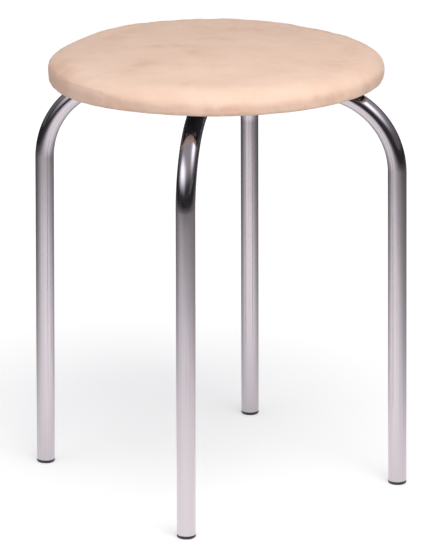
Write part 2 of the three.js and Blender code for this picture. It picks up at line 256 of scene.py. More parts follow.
# %% [markdown]
# ## Lamps and room light
# The two soft boxes are the bright patches in the bends. They stand close by, so that each bend sees them
# from another side, and they are seen in reflections only. Four lamps light the stool and stay out of the
# reflections. The one above is near enough that the seat's far edge is darker, and the low one lights the
# cushion's side. The world is a plain grey, darkest near the horizon in front of the stool.


# %% Soft boxes and lamps
def fade_edges(lamp, edge):
    """Lets a lamp fade towards its four edges: smooth steps of u, 1 - u, v and 1 - v over edge, multiplied."""
    lamp.use_nodes = True
    tree = lamp.node_tree
    where = add_node(tree, "ShaderNodeTexCoord").outputs["UV"]
    across, up = add_node(tree, "ShaderNodeSeparateXYZ", {0: where}).outputs[:2]
    share = 1.0
    for side in (across, up):
        for low, high in ((0, edge), (1, 1 - edge)):
            step = spread(tree, side, low, high)
            share = add_node(tree, "ShaderNodeMath", {0: step, 1: share}, operation="MULTIPLY").outputs[0]
    light = next(n for n in tree.nodes if n.type == "EMISSION")
    tree.links.new(share, light.inputs["Strength"])


def lamp_panel(name, azimuth, elevation, distance, width, height, radiance, colour, reflected=False):
    """A rectangular lamp that faces the seat. Its power is radiance x pi x width x height. A reflected one is
    seen in reflections only and fades at its edges, as a soft box does. The others only light the stool."""
    lamp = bpy.data.lights.new(name, "AREA")
    lamp.shape = "RECTANGLE"
    lamp.size, lamp.size_y = width, height
    lamp.energy = radiance * np.pi * width * height
    lamp.color = colour
    made = bpy.data.objects.new(name, lamp)
    bpy.context.collection.objects.link(made)
    towards = direction(np.radians(azimuth), np.radians(elevation))
    made.location = lamp_aim + towards * distance
    made.rotation_euler = Vector(-towards).to_track_quat("-Z", "Y").to_euler()
    made.visible_camera = False
    made.visible_glossy = reflected
    made.visible_diffuse = not reflected
    if reflected:
        fade_edges(lamp, 0.5)
    return made


lamp_aim = np.array([0, 0, 0.4])
cool, warm = (0.88, 0.91, 1.0), (1.0, 0.98, 0.95)
# Azimuth and elevation are in degrees. Distance, width and height are in metres, and the radiance follows.
lamp_panel("soft_box_left", -34, 18, 0.5, 0.86, 0.36, 2.1, cool, reflected=True)
lamp_panel("soft_box_right", 63, 36, 0.5, 0.52, 0.54, 2.1, cool, reflected=True)
lamp_panel("lamp_left", -50, 11, 1.6, 1.8, 1.0, 1.4, cool)
lamp_panel("lamp_right", 74, 30, 1.6, 1.5, 0.95, 1.0, cool)
lamp_panel("lamp_above", 28, 56, 1.2, 0.9, 0.9, 3.98, warm)
lamp_panel("lamp_low", 36, 3, 1.8, 1.6, 0.7, 2.05, warm)

# %% Room light
room_front = (-0.26, -0.97, 0)
dark_front, dim_sides, pale_top = (0.05, 0.05, 0.053), (0.16, 0.16, 0.165), (0.44, 0.44, 0.45)
world = bpy.data.worlds.new("studio_room")
world.use_nodes = True
tree = world.node_tree
tree.nodes.clear()
where = add_node(tree, "ShaderNodeTexCoord").outputs["Generated"]
up = add_node(tree, "ShaderNodeSeparateXYZ", {0: where}).outputs[2]
front = add_node(tree, "ShaderNodeVectorMath", {0: where, 1: room_front}, operation="DOT_PRODUCT")
low_room = mix_colours(tree, spread(tree, front.outputs["Value"], 0.6, 0.1), dark_front, dim_sides)
room = mix_colours(tree, spread(tree, up, 0.25, 0.68), low_room, pale_top)
light = add_node(tree, "ShaderNodeBackground", {"Color": room, "Strength": 1})
tree.links.new(light.outputs[0], add_node(tree, "ShaderNodeOutputWorld").inputs[0])
bpy.context.scene.world = world
print("room light from", dark_front[0], "to", pale_top[0])

# %% [markdown]
# ## From a grid of points to a mesh
# Most pieces here are surfaces over a grid: rows along a path or profile, columns round it. The helper
# joins neighbouring points into quads. It merges points that fall together, so poles close, and turns the
# faces outwards by the sign of the volume that they enclose, which is the sum of p0 . (p1 x p2) / 6.


# %% Mesh helpers
def grid_faces(rows, columns, wrap_rows, wrap_columns, first=0):
    """Corner numbers of the quads between neighbouring grid points, row by row."""
    row = np.arange(rows if wrap_rows else rows - 1)
    column = np.arange(columns if wrap_columns else columns - 1)
    row, column = np.meshgrid(row, column, indexing="ij")
    next_row, next_column = (row + 1) % rows, (column + 1) % columns
    corners = [(row, column), (row, next_column), (next_row, next_column), (next_row, column)]
    return first + np.stack([r * columns + c for r, c in corners], axis=-1).reshape(-1, 4)


def volume(points, faces):
    """Enclosed volume: each quad is two triangles, and each gives p0 . (p1 x p2) / 6."""
    a, b, c, d = (points[faces[:, i]] for i in range(4))
    triangles = np.cross(b, c) * a + np.cross(c, d) * a
    return triangles.sum() / 6


def merged_places(points):
    """Which points to keep so that no two lie in one place, and for each point the number of its kept one."""
    cells = np.round(points / 2e-7).astype(np.int64)
    _, kept, number = np.unique(cells, axis=0, return_index=True, return_inverse=True)
    return kept, number.reshape(-1)


def mesh_object(name, points, faces, uv=None, closed=True):
    """Puts points and quads into a mesh. A quad with two corners in one place becomes a triangle."""
    kept, number = merged_places(points)
    if closed and volume(points, faces) < 0:
        faces = faces[:, ::-1]
        uv = uv[:, ::-1] if uv is not None else None
    merged = number[faces]
    keep = merged != np.roll(merged, -1, axis=1)
    whole = keep.sum(axis=1) >= 3
    merged, keep = merged[whole], keep[whole]
    sizes = keep.sum(axis=1)
    mesh = bpy.data.meshes.new(name)
    mesh.vertices.add(len(kept))
    mesh.vertices.foreach_set("co", points[kept].astype(np.float32).ravel())
    mesh.loops.add(int(sizes.sum()))
    mesh.loops.foreach_set("vertex_index", merged[keep].astype(np.int32))
    mesh.polygons.add(len(sizes))
    starts = np.concatenate([[0], np.cumsum(sizes)[:-1]])
    mesh.polygons.foreach_set("loop_start", starts.astype(np.int32))
    mesh.update(calc_edges=True)
    if uv is not None:
        layer = mesh.uv_layers.new(name="tube")
        layer.uv.foreach_set("vector", uv[whole][keep].astype(np.float32).ravel())
    mesh.validate()
    made = bpy.data.objects.new(name, mesh)
    bpy.context.collection.objects.link(made)
    return made


def finish_piece(made, material, slot, *nodes, sharp=35):
    """Shades smoothly but for edges sharper than this angle, and sets the material and the body. The slot is
    not used.
    """
    made.data.shade_smooth()
    made.data.set_sharp_from_angle(angle=np.radians(sharp))
    made.data.materials.append(material)
    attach(made, "root")
    if nodes:
        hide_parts(*nodes)
    print(f"{made.name}: {len(made.data.polygons)} faces")
    return made


def turned(points, quarters):
    """Turns points about Z by quarter turns."""
    cosine, sine = round(np.cos(quarters * np.pi / 2)), round(np.sin(quarters * np.pi / 2))
    x, y, z = np.moveaxis(points, -1, 0)
    return np.stack([cosine * x - sine * y, sine * x + cosine * y, z], axis=-1)


places = {"right": 0, "back": 1, "left": 2, "front": 3}
print("quarter turns:", places)

# %% [markdown]
# ## Chrome
# Chrome plate is a mirror with faint lines along the tube, left by drawing and polishing the steel. A
# metal shader does the mirror. The lines are noise that is stretched along the tube: it reads the tube's
# own map, whose first number goes round and whose second is the metres along it. A softer noise stands
# for finger marks and a little haze, which widen the highlights in places.

# %% Chrome finish
lines_round = 70
chrome, tree, output, where = new_material("polished_chrome")
along = add_node(tree, "ShaderNodeUVMap", uv_map="tube").outputs[0]
lines = noise(tree, along, 1, detail=3, roughness=0.6, stretch=(lines_round, 5, 1))
haze = noise(tree, where, 22, detail=3)
marks = spread(tree, haze, 0.45, 0.75)
fine = spread(tree, lines, 0.35, 0.7, 0.06, 0.2)
rough = add_node(tree, "ShaderNodeMath", {0: marks, 1: 0.05, 2: fine}, operation="MULTIPLY_ADD").outputs[0]
tint = mix_colours(tree, spread(tree, lines, 0.25, 0.8), (0.555, 0.505, 0.535), (0.52, 0.47, 0.505))
values = {"Base Color": tint, "Metallic": 1, "Roughness": rough, "Normal": bumped(tree, lines, 0.00001)}
finish_surface(tree, output, values)
print("chrome lines:", lines_round, "round the tube")

# %% [markdown]
# ## The two tube hoops
# Each hoop is one tube: a leg, a bend, a level run, a bend and a leg. At the middle each is pressed to half
# its height, one upwards and one downwards, so that they cross at one level. A skinned curve or a spin could
# make the bends, but not the pressed part. So a section is carried along the path, and the section itself
# changes: it is a superellipse, |out / h|^p + |across / w|^p = 1, whose p grows from 2 to 4 as it is pressed.

# %% Hoop sizes
tube_radius, tube_wall = 9.5 * mm, 1.2 * mm
bend_radius, about_leg = 83 * mm, 320 * mm
foot_reach, leg_lean = 186 * mm, 6 * mm
touch_gap = 0.3 * mm
press_clearance, ramp_length = 1.2 * mm, 16 * mm
plug_flange = 3 * mm
under_board = 1.4 * mm
run_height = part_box("seat_board")[0].z - under_board - tube_radius
pressed_height = (2 * tube_radius - touch_gap) / 2
pressed_width = pressed_height + np.pi * (2 * tube_radius - pressed_height) / 2
pressed_half_length = pressed_width / 2 + press_clearance
lean = np.arctan(leg_lean / run_height)
tube_columns = 64
screw_reach, screw_hole, drill_room = 64 * mm, 3.4 * mm, 9 * mm
print("level run at", round(run_height / mm, 2), "mm, pressed to", round(pressed_width / mm, 1), "mm wide")


# %% Hoop path and sections
def smooth_step(t):
    """0 below 0, 1 above 1, and 3 t^2 - 2 t^3 between."""
    t = np.clip(t, 0, 1)
    return t * t * (3 - 2 * t)


def half_path():
    """Centre line from the end of the tube at +X to the middle: place x and z, outward angle, and how far
    round the bend it is, from 0 at its start to 1 at its end. The first rows lie about 0.12 and 0.35 mm up
    the leg, because the tube's cut end is rounded there."""
    corner = (np.pi / 2 - lean) / 2
    run_end = foot_reach - leg_lean - bend_radius * np.tan(corner)
    centre = np.array([run_end, run_height - bend_radius])
    bend_start = centre + bend_radius * np.array([np.cos(lean), np.sin(lean)])
    start = np.array([foot_reach, 0]) + (plug_flange + touch_gap) * np.array([-np.sin(lean), np.cos(lean)])
    rim_share = np.array([0, 0.12, 0.35]) * mm / about_leg
    rise = np.concatenate([rim_share, np.linspace(0.01, 1, 20)[:-1]])[:, None]
    leg = start + (bend_start - start) * rise
    angle = np.linspace(lean, np.pi / 2, 65)
    bend = centre + bend_radius * np.stack([np.cos(angle), np.sin(angle)], axis=-1)
    ramp_end = pressed_half_length + ramp_length
    near_screw = np.linspace(screw_reach + drill_room, screw_reach - drill_room, 13)
    before = np.linspace(run_end, near_screw[0] + 2 * mm, 5)
    after = np.linspace(near_screw[-1] - 3 * mm, ramp_end, 6)
    ramp = np.linspace(ramp_end, pressed_half_length, 25)
    x = np.concatenate([before[1:], near_screw, after, ramp[1:], [10 * mm, 5 * mm, 0]])
    run = np.stack([x, np.full_like(x, run_height)], axis=-1)
    place = np.concatenate([leg, bend, run])
    outward = np.concatenate([np.full(len(leg), lean), angle, np.full(len(run), np.pi / 2)])
    around = np.concatenate([np.zeros(len(leg)), np.linspace(0, 1, len(bend)), np.ones(len(run))])
    return place, outward, around


def sections(place, outward, around, inset, side):
    """Rings of the tube. out = h |cos a|^q and across = w |sin a|^q, with their signs and q = 2 / p. A bent
    tube is a little flatter across the bend and a little wider, by 1.6 % and 1 % at the middle."""
    pressed = 1 - smooth_step((np.abs(place[:, 0]) - pressed_half_length) / ramp_length)
    squashed = np.sin(np.pi * around) ** 0.5 * (around > 0) * (around < 1)
    half_out = (tube_radius + (pressed_height / 2 - tube_radius) * pressed) * (1 - 0.016 * squashed) - inset
    half_across = (tube_radius + (pressed_width / 2 - tube_radius) * pressed) * (1 + 0.01 * squashed) - inset
    power = (2 / (2 + 2 * pressed))[:, None]
    lift = side * pressed * (tube_radius - pressed_height / 2)
    angle = (np.arange(tube_columns) + 0.5) * 2 * np.pi / tube_columns
    bulge = lambda value: np.sign(value) * np.abs(value) ** power
    out = lift[:, None] + half_out[:, None] * bulge(np.cos(angle)[None])
    across = half_across[:, None] * bulge(np.sin(angle)[None])
    x = place[:, :1] + out * np.cos(outward)[:, None]
    z = place[:, 1:] + out * np.sin(outward)[:, None]
    return np.stack([x, across, z], axis=-1)


def hoop_surface(side):
    """The skin from one tube end to the other and the bore back, as one closed grid, with metres along it."""
    place, outward, around = half_path()
    flip = np.array([-1, 1])
    place = np.concatenate([place, (place * flip)[-2::-1]])
    outward = np.concatenate([outward, (np.pi - outward)[-2::-1]])
    around = np.concatenate([around, around[-2::-1]])
    step = np.linalg.norm(np.diff(place, axis=0), axis=1)
    length = np.concatenate([[0], np.cumsum(step)])
    rounding = np.zeros(len(place))
    rounding[[0, 1, -2, -1]] = np.array([0.3, 0.08, 0.08, 0.3]) * mm
    skin = sections(place, outward, around, rounding, side)
    bore = sections(place, outward, around, tube_wall - rounding, side)[::-1]
    return np.concatenate([skin, bore]), np.concatenate([length, length[::-1]])


def tube_map(length, rows, columns, wrap=True):
    """For each quad's corners: how far round the tube, 0 to 1, and how many metres along."""
    row, column = np.meshgrid(np.arange(rows), np.arange(columns), indexing="ij")
    next_row = (row + 1) % rows if wrap else row + 1
    corners = [(row, column), (row, column + 1), (next_row, column + 1), (next_row, column)]
    pairs = [np.stack([c / columns, length[r]], axis=-1) for r, c in corners]
    return np.stack(pairs, axis=2).reshape(-1, 4, 2)


print("path points in half a hoop:", len(half_path()[0]))

# %% [markdown]
# The screws go up through round holes in the level runs. A hole in a swept grid would need its own rows,
# so a Boolean cuts it here instead. It is applied at once, so that the mesh that is kept is plain.

# %% Hoops
drill_sides, drill_half = 32, 12 * mm


def drilled(made, centres, radius, low, high):
    """Cuts upright round holes with a Boolean and keeps the result as the object's own mesh."""
    angle = np.linspace(0, 2 * np.pi, drill_sides, endpoint=False)
    ring = np.stack([np.cos(angle), np.sin(angle), np.zeros(drill_sides)], axis=-1) * radius
    for x, y in centres:
        rows = [ring * 0 + (x, y, low), ring + (x, y, low), ring + (x, y, high), ring * 0 + (x, y, high)]
        drill = mesh_object("drill", np.concatenate(rows), grid_faces(4, drill_sides, False, True))
        cut = made.modifiers.new("hole", "BOOLEAN")
        cut.operation, cut.solver, cut.object = "DIFFERENCE", "EXACT", drill
        evaluated = made.evaluated_get(bpy.context.evaluated_depsgraph_get())
        result = bpy.data.meshes.new_from_object(evaluated)
        made.modifiers.clear()
        made.data = result
        bpy.data.objects.remove(drill)
    return made


def make_hoop(name, side, quarters):
    """One hoop as a mesh, turned into place, drilled for its two screws and finished in chrome."""
    points, length = hoop_surface(side)
    rows = len(points)
    uv = tube_map(length, rows, tube_columns)
    faces = grid_faces(rows, tube_columns, True, True)
    made = mesh_object(name + "_tube", turned(points, quarters).reshape(-1, 3), faces, uv)
    centres = [(screw_reach, 0), (-screw_reach, 0)] if quarters == 0 else [(0, screw_reach), (0, -screw_reach)]
    drilled(made, centres, screw_hole, run_height - drill_half, run_height + drill_half)
    return finish_piece(made, chrome, "chrome", name)


make_hoop("lower_leg_hoop", -1, 0)
make_hoop("upper_leg_hoop", 1, 1)

# %% [markdown]
# ## Weld beads
# Four short beads hold the hoops together where they cross. A weld bead is a row of small overlapping
# pools, so its skin has ripples. The bead is a rod with round ends, r = r0 sqrt(1 - |t|^6), times a ripple
# that runs along it and curves back at its sides. It was plated with the tube, so it is chrome too.

# %% Weld beads
bead_columns, bead_rows = 20, 73


def weld_bead(name):
    """A rippled rod along the CAD bead's longest side: r = r0 sqrt(1 - |t|^6) (0.93 + 0.07 ripple)."""
    low, high = (np.array(c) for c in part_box(name))
    size = high - low
    long_axis = int(np.argmax(size))
    t = np.linspace(-1, 1, bead_rows)[:, None]
    angle = np.linspace(0, 2 * np.pi, bead_columns, endpoint=False)[None]
    ripple = ((t * 5.5 + 0.25 * np.cos(angle) + 6) % 1) ** 1.5
    radius = size.min() / 2 * np.sqrt(1 - np.abs(t) ** 6) * (0.93 + 0.07 * ripple)
    points = np.zeros((bead_rows, bead_columns, 3))
    points[..., long_axis] = t * size[long_axis] / 2
    points[..., 1 - long_axis] = radius * np.cos(angle)
    points[..., 2] = radius * np.sin(angle)
    points += (low + high) / 2
    uv = tube_map(np.linspace(0, size[long_axis], bead_rows), bead_rows - 1, bead_columns, wrap=False)
    faces = grid_faces(bead_rows, bead_columns, False, True)
    made = mesh_object(name + "_rippled", points.reshape(-1, 3), faces, uv)
    return finish_piece(made, chrome, "chrome", name)


for place in places:
    weld_bead("weld_bead_" + place)

# %% [markdown]
# ## Black plastic
# The foot plugs and the washers are moulded in black plastic. It has a fine moulded grain, a slight shine,
# and scuffs and dust near the floor. Noise gives the grain through a bump, and a second noise lightens and
# dulls the scuffs, most where the piece is nearest the floor.

# %% Black plastic finish
plastic_grain = 1400
black_plastic, tree, output, where = new_material("moulded_black_plastic")
height = add_node(tree, "ShaderNodeSeparateXYZ", {0: where}).outputs[2]
grain = noise(tree, where, plastic_grain, detail=2)
scuff = spread(tree, noise(tree, where, 260, detail=4, roughness=0.65, stretch=(1, 1, 2.5)), 0.5, 0.68)
near_floor = spread(tree, height, 0, 4 * mm, 1, 0.2)
worn = add_node(tree, "ShaderNodeMath", {0: scuff, 1: near_floor}, operation="MULTIPLY").outputs[0]
colour = mix_colours(tree, worn, (0.018, 0.015, 0.02), (0.075, 0.07, 0.07))
values = {"Base Color": colour, "Roughness": spread(tree, worn, 0, 1, 0.38, 0.7)}
values["Normal"] = bumped(tree, grain, 0.00006, below=bumped(tree, scuff, 0.00005))
finish_surface(tree, output, values)
print("plastic grain:", plastic_grain, "to the metre")

# %% [markdown]
# ## Foot plugs
# A plug closes each tube end and stands on the floor. Its flange is as wide as the tube, and a ribbed
# spigot grips inside. Turned shapes like this are one profile carried round an axis. The plug is made on
# the leg's axis and leaned with it, and every point below the floor is raised to the floor.


# %% Turned shapes
def revolved(profile, columns):
    """Carries a profile of (r, z) round the axis: (r cos a, r sin a, z)."""
    radius, height = np.asarray(profile, float).T
    angle = np.linspace(0, 2 * np.pi, columns, endpoint=False)
    x, y = radius[:, None] * np.cos(angle), radius[:, None] * np.sin(angle)
    return np.stack([x, y, np.broadcast_to(height[:, None], x.shape)], axis=-1)


def arc(centre, radius, start, end, steps=6):
    """Points of a round corner between two angles in degrees: centre + radius (cos a, sin a)."""
    angle = np.radians(np.linspace(start, end, steps))
    return [(centre[0] + radius * np.cos(a), centre[1] + radius * np.sin(a)) for a in angle]


def foot_plug(name, quarters):
    """Flange, ribbed spigot and bore as one profile in millimetres, with a small dimple under the flange."""
    wide, core, rib, bore, plug_columns = 9.5, 7.1, 8.0, 4.3, 64
    profile = [(0, 0.55), (0.9, 0.5), (1.5, -0.2), (5.2, -0.2), (5.4, 0.35), (6.1, 0.35), (6.3, -0.2)]
    profile += arc((wide - 1.6, 1.6), 1.6, -90, 0, 8) + arc((wide - 0.25, 2.75), 0.25, 0, 90, 4)
    profile += [(core, 3), (core, 8), (rib, 8), (rib, 8.3), (core, 10.2), (core, 13), (rib, 13), (rib, 13.3)]
    profile += [(core, 15.2), (core, 19.1), (core - 0.9, 20), (bore, 20), (bore, 6), (0, 6)]
    points = revolved(np.array(profile) * mm, plug_columns)
    x, y, z = np.moveaxis(points, -1, 0)
    leaned = [x * np.cos(lean) - z * np.sin(lean) + foot_reach, y, x * np.sin(lean) + z * np.cos(lean)]
    points = np.stack(leaned, axis=-1)
    points[..., 2] = np.maximum(points[..., 2], 0)
    points = turned(points, quarters)
    faces = grid_faces(len(profile), plug_columns, False, True)
    made = mesh_object(name + "_moulding", points.reshape(-1, 3), faces)
    return finish_piece(made, black_plastic, "black_plastic", name)


for place, quarters in places.items():
    foot_plug("foot_plug_" + place, quarters)

# %% [markdown]
# ## Saddle washers
# A washer sits between each screw head and the round tube, hollowed on top so that the tube lies in it.
# Cutting a cylinder out of a disc would leave long thin faces. Here the top's height is worked out from the
# tube's own roundness instead: z = axis - sqrt(R^2 - y^2), where y is the distance from the tube's line.


# %% Saddle washers
def saddle_washer(name, quarters):
    """Rows go over the top, down the side, under the bottom and up the hole, as a closed ring of rings."""
    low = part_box(name)[0].z
    outer, hole, hollow, edge = 7.5 * mm, 3.4 * mm, tube_radius + touch_gap, 0.35 * mm
    columns = 72
    angle = np.linspace(0, 2 * np.pi, columns, endpoint=False)
    top_radius = np.array([hole, 4.4 * mm, 5.6 * mm, 6.6 * mm, outer - edge])
    side_radius = [outer - 0.1 * mm, outer, outer, outer - 0.1 * mm, outer - edge]
    radius = np.concatenate([top_radius, side_radius, [5 * mm, hole]])
    across = radius[:, None] * np.sin(angle)
    saddle = run_height - np.sqrt(hollow**2 - across**2)
    z = saddle.copy()
    z[5], z[6] = saddle[5] - 0.1 * mm, saddle[6] - edge
    z[7:] = low
    z[7], z[8] = low + edge, low + 0.1 * mm
    x, y = screw_reach + radius[:, None] * np.cos(angle), across
    points = turned(np.stack([x, y, z], axis=-1), quarters)
    made = mesh_object(name + "_moulding", points.reshape(-1, 3), grid_faces(len(radius), columns, True, True))
    return finish_piece(made, black_plastic, "black_plastic", name)


for place, quarters in places.items():
    saddle_washer("saddle_washer_" + place, quarters)

# %% [markdown]
# ## Zinc-plated steel
# The screws, tee nuts and staples are plated with zinc: a grey, slightly bluish metal that is duller than
# chrome, with a cloudy look. Two noises of different size change its tone and its roughness.

# %% Zinc finish
zinc_clouds = 320
zinc, tree, output, where = new_material("zinc_plated_steel")
cloud = noise(tree, where, zinc_clouds, detail=4, roughness=0.6)
grains = noise(tree, where, 2600, detail=1)
colour = mix_colours(tree, spread(tree, cloud, 0.3, 0.7), (0.5, 0.51, 0.53), (0.66, 0.67, 0.67))
values = {"Base Color": colour, "Metallic": 1, "Roughness": spread(tree, cloud, 0.25, 0.75, 0.42, 0.27)}
values["Normal"] = bumped(tree, grains, 0.00002)
finish_surface(tree, output, values)
print("zinc clouds:", zinc_clouds, "to the metre")

# %% [markdown]
# ## Seat screws
# Each screw has a domed head with a hexagon socket and a threaded shank. The head is turned, but its rings
# change from round to six-sided at the socket: r = a / cos(angle to the nearest flat). The thread is a ridge
# that climbs one pitch in a turn, so its height depends on z / pitch - a / (2 pi).


# %% Seat screws
def seat_screw(name, quarters):
    """Rows from the socket's floor over the head to the tip, each with its radius round the axis and height."""
    low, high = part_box(name)
    columns, pitch = 48, 1 * mm
    angle = np.linspace(0, 2 * np.pi, columns, endpoint=False)
    flat = 2 * mm / np.cos((angle + np.pi / 6) % (np.pi / 3) - np.pi / 6)
    ring = np.ones(columns)
    head = low.z
    head_top = head + 3.3 * mm
    rows = [(ring * 0, head + 2.5 * mm), (flat * 0.85, head + 2 * mm), (flat, head + 1.95 * mm)]
    rows += [(flat, head + 0.2 * mm), (ring * 2.6 * mm, head), (ring * 3 * mm, head)]
    for a in np.radians(np.linspace(6, 88, 12)):
        rows.append((ring * (3 + 2.5 * np.sin(a)) * mm, head_top - 3.3 * mm * np.cos(a)))
    rows += [(ring * 5.4 * mm, head_top), (ring * 3 * mm, head_top), (ring * 3 * mm, head_top + 4 * mm)]
    for z in np.arange(head_top + 4.2 * mm, high.z - 1.2 * mm, pitch / 8):
        phase = (z / pitch - angle / (2 * np.pi)) % 1
        ridge = np.clip(np.abs(phase - 0.5) * 2.6 - 0.15, 0, 1)
        rows.append((ring * 3 * mm - 0.55 * mm * ridge, z))
    rows += [(ring * 2.35 * mm, high.z - 0.7 * mm), (ring * 1.8 * mm, high.z), (ring * 0, high.z)]
    radius = np.stack([r for r, _ in rows])
    z = np.broadcast_to(np.array([h for _, h in rows])[:, None], radius.shape)
    points = np.stack([screw_reach + radius * np.cos(angle), radius * np.sin(angle), z], axis=-1)
    points = turned(points, quarters).reshape(-1, 3)
    made = mesh_object(name + "_threaded", points, grid_faces(len(rows), columns, False, True))
    return finish_piece(made, zinc, "zinc_steel", name)


for place, quarters in places.items():
    seat_screw("seat_screw_" + place, quarters)

# %% [markdown]
# ## Tee nuts and the seat board
# These CAD pieces have the right shape and lie hidden under the foam, so they stay and only get a finish.
# Plywood is thin sheets of wood with the grain turned in each: on the edge it shows as light and dark
# stripes, on the faces as long grain. Its stripes follow the height, and its grain is stretched noise.


# %% Plywood finish
def dress(node, material):
    """Gives a CAD node its material through the object's own slots, and leaves its mesh as it is."""
    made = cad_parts[node]
    for place in made.material_slots:
        place.link = "OBJECT"
        place.material = material
    print(node, "keeps its CAD shape")


sheets_to_metre = 700
plywood, tree, output, where = new_material("birch_plywood")
long_grain = noise(tree, where, 26, detail=6, roughness=0.62, stretch=(1, 14, 14))
cross_grain = noise(tree, where, 26, detail=6, roughness=0.62, stretch=(14, 1, 14))
height = add_node(tree, "ShaderNodeSeparateXYZ", {0: where}).outputs[2]
board_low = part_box("seat_board")[0].z
raised = add_node(tree, "ShaderNodeMath", {0: height, 1: -board_low}, operation="ADD").outputs[0]
sheet_number = {0: raised, 1: sheets_to_metre}
sheet_number = add_node(tree, "ShaderNodeMath", sheet_number, operation="MULTIPLY").outputs[0]
stripe = add_node(tree, "ShaderNodeMath", {0: sheet_number, 1: 1}, operation="PINGPONG").outputs[0]
stripe = spread(tree, stripe, 0.42, 0.58)
grain = {0: stripe, 2: long_grain, 3: cross_grain}
grain = add_node(tree, "ShaderNodeMix", grain, data_type="FLOAT").outputs[0]
pale = mix_colours(tree, spread(tree, grain, 0.35, 0.7), (0.62, 0.43, 0.25), (0.74, 0.56, 0.36))
colour = mix_colours(tree, spread(tree, stripe, 0, 1, 0, 0.35), pale, (0.42, 0.26, 0.14))
values = {"Base Color": colour, "Roughness": spread(tree, grain, 0.3, 0.7, 0.62, 0.78)}
values["Normal"] = bumped(tree, grain, 0.0002)
finish_surface(tree, output, values)
dress("seat_board", plywood)
for place in places:
    dress("tee_nut_" + place, zinc)

# %% [markdown]
# ## The shape of the cushion
# The seat is a foam pad on a round board, and a suede-like cloth is pulled over it and turned under. From
# the left and the front a fold shows where the top meets the side; on the right it is soft. So two profiles
# are worked out, one rounded and one creased, and each direction gets its own share of the creased one.
# The cushion also sits two or three millimetres off the frame's centre line, as the picture shows.

# %% Cushion profiles
seat_radius, crown_rise = 169 * mm, 4.5 * mm
shoulder_drop, shoulder_reach = 11.5 * mm, 24 * mm
fold_inset, fold_start, fold_drop = 0.6 * mm, 10.9 * mm, 9.5 * mm
side_draw_in, rim_radius, rim_hang, cover_margin = 1 * mm, 4.5 * mm, 0.9 * mm, 29 * mm
cover_bottom, seat_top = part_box("seat_cover")[0].z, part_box("seat_cover")[1].z
widest = seat_top - crown_rise - shoulder_drop
cushion_shift = np.array([-2.6, -0.2, 0]) * mm
cloth_thickness = 1.2 * mm


def dome(r):
    """Height of the whole seat's crown: rise (1 - (r / R)^2)."""
    return crown_rise * (1 - (r / seat_radius) ** 2)


def side_and_margin():
    """Points from below the widest place round the rim to the edge of the margin. The rim hangs a little
    lower than the margin, which the staples pull up against the board."""
    rim_middle = seat_radius - side_draw_in - rim_radius
    rim = arc((rim_middle, cover_bottom - rim_hang + rim_radius), rim_radius, 0, -90, 16)
    return np.array(rim + [(rim_middle - 7 * mm, cover_bottom), (seat_radius - cover_margin, cover_bottom)])


def even(points, count):
    """The same line as count points that lie evenly along its length."""
    length = np.concatenate([[0], np.cumsum(np.linalg.norm(np.diff(points, axis=0), axis=1))])
    at = np.linspace(0, length[-1], count)
    return np.stack([np.interp(at, length, points[:, i]) for i in (0, 1)], axis=-1)


def softened(points, width):
    """A moving average over 2 x width + 1 points, with the ends kept."""
    padded = np.pad(points, ((width, width), (0, 0)), mode="edge")
    window = np.ones(2 * width + 1) / (2 * width + 1)
    result = np.stack([np.convolve(padded[:, i], window, mode="valid") for i in (0, 1)], axis=-1)
    result[[0, -1]] = points[[0, -1]]
    return result


print("cushion is widest at", round(widest / mm, 1), "mm and its top at", round(seat_top / mm, 1), "mm")

# %% Rounded and creased profile
# The rounded shoulder is a quarter of an oval. The creased one is start - drop t^1.5 above the widest place.
profile_points = 900
top_end = seat_radius - shoulder_reach
top_r = np.linspace(0, top_end, 60)
top = np.stack([top_r, widest + shoulder_drop + dome(top_r)], axis=-1)
a = np.radians(np.linspace(0, 90, 40)[1:])
shoulder_r = top_end + shoulder_reach * np.sin(a)
shoulder = np.stack([shoulder_r, widest + shoulder_drop * np.cos(a) + dome(shoulder_r)], axis=-1)
t = np.linspace(0, 1, 40)[1:]
fold_r = top_end + (shoulder_reach - fold_inset) * t
fold = np.stack([fold_r, widest + dome(fold_r) + fold_start - fold_drop * t**1.5], axis=-1)
rounded = even(np.concatenate([top, shoulder, side_and_margin()]), profile_points)
creased = even(np.concatenate([top, fold, side_and_margin()]), profile_points)
rounded, creased = softened(rounded, 4), softened(creased, 2)
profile_length = np.linalg.norm(np.diff(rounded, axis=0), axis=1).sum()
print("cushion profile in mm:", round(profile_length / mm, 1))

# %% [markdown]
# ## The cover as a sheet of quads
# A turned shape has all its faces meet in the middle, which puckers when cloth is simulated on it. Here the
# top is a square grid that is pressed into a disc: a point (a, b) of the square goes to the circle of radius
# max(|a|, |b|), at an angle pi/4 times the smaller over the larger. The side and the margin go on from its
# edge as rows that run down and under. The rows lie closer at the fold and round the rim, where the cover
# turns most.

# %% Lines round the seat
def wander(angle, waves, size, seed):
    """A slow random line round the seat: the sum of size cos(n a + phase) / sqrt(count) over whole n."""
    phases = np.random.default_rng(seed).uniform(0, 2 * np.pi, len(waves))
    terms = [np.cos(n * angle + p) for n, p in zip(waves, phases)]
    return size * sum(terms) / np.sqrt(len(waves))


def seen_degrees(angle):
    """Turns an angle round the seat into degrees that are 0 towards the camera and grow to its right."""
    return np.degrees((angle + np.pi / 2 - camera_azimuth + np.pi) % (2 * np.pi) - np.pi)


def between(seen, start, start_width, end, end_width):
    """1 from start to end, with a smooth step of its own width at each: step up x step down."""
    return smooth_step((seen - start) / start_width) * smooth_step((end - seen) / end_width)


print("the right-hand leg is seen at", round(float(seen_degrees(0)), 1), "degrees")

